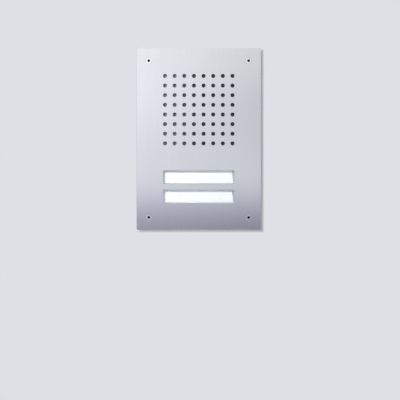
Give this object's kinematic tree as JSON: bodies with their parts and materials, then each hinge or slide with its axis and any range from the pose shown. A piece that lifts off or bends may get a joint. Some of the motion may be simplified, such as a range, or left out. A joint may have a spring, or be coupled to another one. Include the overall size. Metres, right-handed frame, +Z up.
{
  "type": "door intercom panel",
  "caption": "Flush-mounted door intercom panel: satin steel plate with a field of speech holes and wide lit name-plate call buttons, on a wall box.",
  "frame": {"origin": "middle of the front plate's back face, which lies on the wall's surface", "axes": "+X to the right as a visitor sees the panel, +Y into the wall, +Z up"},
  "size_m": [0.142, 0.05, 0.208],
  "materials": {
    "plate_steel": "fine vertical satin grain",
    "screw_steel": "satin stainless",
    "zinc_steel": "bright zinc plating",
    "gasket_rubber": "soft closed-cell foam rubber",
    "seal_rubber": "moulded rubber",
    "box_plastic": "moulded impact-resistant plastic, fine spark texture",
    "insert_brass": "turned and knurled",
    "mesh_cloth": "dark acoustic weave, water-repellent",
    "carrier_plastic": "moulded, fine texture",
    "basket_paint": "black stoving paint on pressed steel",
    "cone_paper": "pressed dark pulp",
    "spider_cloth": "resin-stiffened cloth",
    "former_film": "amber heat-proof film",
    "winding_copper": "enamelled copper wire",
    "ferrite": "ground ferrite",
    "tag_fibre": "fibre strip with tinned tags",
    "capsule_metal": "pressed can",
    "clear_plastic": "clear polycarbonate",
    "card_paper": "blank white label card",
    "opal_plastic": "opal light guide",
    "white_plastic": "white moulding that keeps light in",
    "spring_steel": "drawn stainless spring wire",
    "board_laminate": "green solder mask on glass laminate",
    "led_body": "white reflector with phosphor lens",
    "switch_black": "moulded switch housing",
    "plunger_plastic": "moulded plunger",
    "terminal_green": "moulded terminal strip",
    "capacitor_sleeve": "shrink sleeve with bare aluminium top",
    "chip_plastic": "moulded epoxy",
    "relay_plastic": "relay case and coil former",
    "trimmer_blue": "trimmer housing",
    "rotor_plastic": "rotor with arrow slot",
    "connector_nylon": "natural nylon",
    "cover_plastic": "moulded cover, fine texture",
    "wire_red": "extruded wire insulation",
    "wire_grey": "extruded cable sheath",
    "ribbon_grey": "flat cable"
  },
  "bodies": {
    "housing": {"front_plate": "plate_steel", "plate_screws": "screw_steel", "plate_gasket": "gasket_rubber", "plate_studs": "zinc_steel", "stud_nuts": "zinc_steel", "flush_box": "box_plastic", "box_inserts": "insert_brass", "cable_grommet": "seal_rubber", "acoustic_mesh": "mesh_cloth", "grille_gasket": "gasket_rubber", "audio_carrier": "carrier_plastic", "mic_boot": "seal_rubber", "mic_capsule": "capsule_metal", "mic_seal": "gasket_rubber", "speaker_gasket": "gasket_rubber", "speaker_basket": "basket_paint", "speaker_screws": "zinc_steel", "speaker_surround": "seal_rubber", "speaker_spider": "spider_cloth", "speaker_top_plate": "zinc_steel", "speaker_magnet": "ferrite", "speaker_yoke": "zinc_steel", "speaker_terminals": "tag_fibre", "button_frame": "carrier_plastic", "button_springs_upper": "spring_steel", "button_springs_lower": "spring_steel", "light_board": "board_laminate", "light_board_screws": "zinc_steel", "backlight_leds": "led_body", "switch_bodies": "switch_black", "board_spacers": "insert_brass", "main_board": "board_laminate", "terminal_block": "terminal_green", "terminal_clamps": "zinc_steel", "capacitors": "capacitor_sleeve", "board_chips": "chip_plastic", "relay_and_coil": "relay_plastic", "trimmer_bodies": "trimmer_blue", "board_connectors": "connector_nylon", "rear_cover": "cover_plastic", "cover_screws": "zinc_steel", "speaker_leads": "wire_red", "mic_lead": "wire_grey", "ribbon_cable": "ribbon_grey"},
    "upper_button": {"button_cap_upper": "clear_plastic", "name_card_upper": "card_paper", "button_diffuser_upper": "opal_plastic", "button_carriage_upper": "white_plastic"},
    "upper_plunger": {"switch_plunger_upper": "plunger_plastic"},
    "lower_button": {"button_cap_lower": "clear_plastic", "name_card_lower": "card_paper", "button_diffuser_lower": "opal_plastic", "button_carriage_lower": "white_plastic"},
    "lower_plunger": {"switch_plunger_lower": "plunger_plastic"},
    "diaphragm": {"speaker_cone": "cone_paper", "speaker_dust_cap": "cone_paper", "voice_coil_former": "former_film", "voice_coil_winding": "winding_copper"},
    "speaker_rotor": {"speaker_trimmer_rotor": "rotor_plastic"},
    "mic_rotor": {"mic_trimmer_rotor": "rotor_plastic"}
  },
  "joints": [
    {"name": "upper_call_press", "type": "slide", "parent": "housing", "child": "upper_button", "axis": [0, 1, 0], "range_m": [0, 0.001], "stiffness_N_per_m": 400, "springref_m": -0.003, "deforming": ["button_springs_upper"]},
    {"name": "upper_switch_press", "type": "slide", "parent": "housing", "child": "upper_plunger", "axis": [0, 1, 0], "range_m": [0, 0.001], "stiffness_N_per_m": 100, "springref_m": -0.002},
    {"name": "lower_call_press", "type": "slide", "parent": "housing", "child": "lower_button", "axis": [0, 1, 0], "range_m": [0, 0.001], "stiffness_N_per_m": 400, "springref_m": -0.003, "deforming": ["button_springs_lower"]},
    {"name": "lower_switch_press", "type": "slide", "parent": "housing", "child": "lower_plunger", "axis": [0, 1, 0], "range_m": [0, 0.001], "stiffness_N_per_m": 100, "springref_m": -0.002},
    {"name": "diaphragm_travel", "type": "slide", "parent": "housing", "child": "diaphragm", "axis": [0, 1, 0], "range_m": [-0.0006, 0.0006], "stiffness_N_per_m": 1200, "deforming": ["speaker_surround", "speaker_spider"]},
    {"name": "speaker_trimmer_turn", "type": "hinge", "parent": "housing", "child": "speaker_rotor", "pos_m": [0.038, 0.028, -0.02], "axis": [0, 1, 0], "range_deg": [-135, 135]},
    {"name": "mic_trimmer_turn", "type": "hinge", "parent": "housing", "child": "mic_rotor", "pos_m": [0.038, 0.028, -0.036], "axis": [0, 1, 0], "range_deg": [-135, 135]}
  ],
  "couplings": [
    {"joint": "upper_switch_press", "follows": "upper_call_press", "ratio": 1},
    {"joint": "lower_switch_press", "follows": "lower_call_press", "ratio": 1}
  ]
}
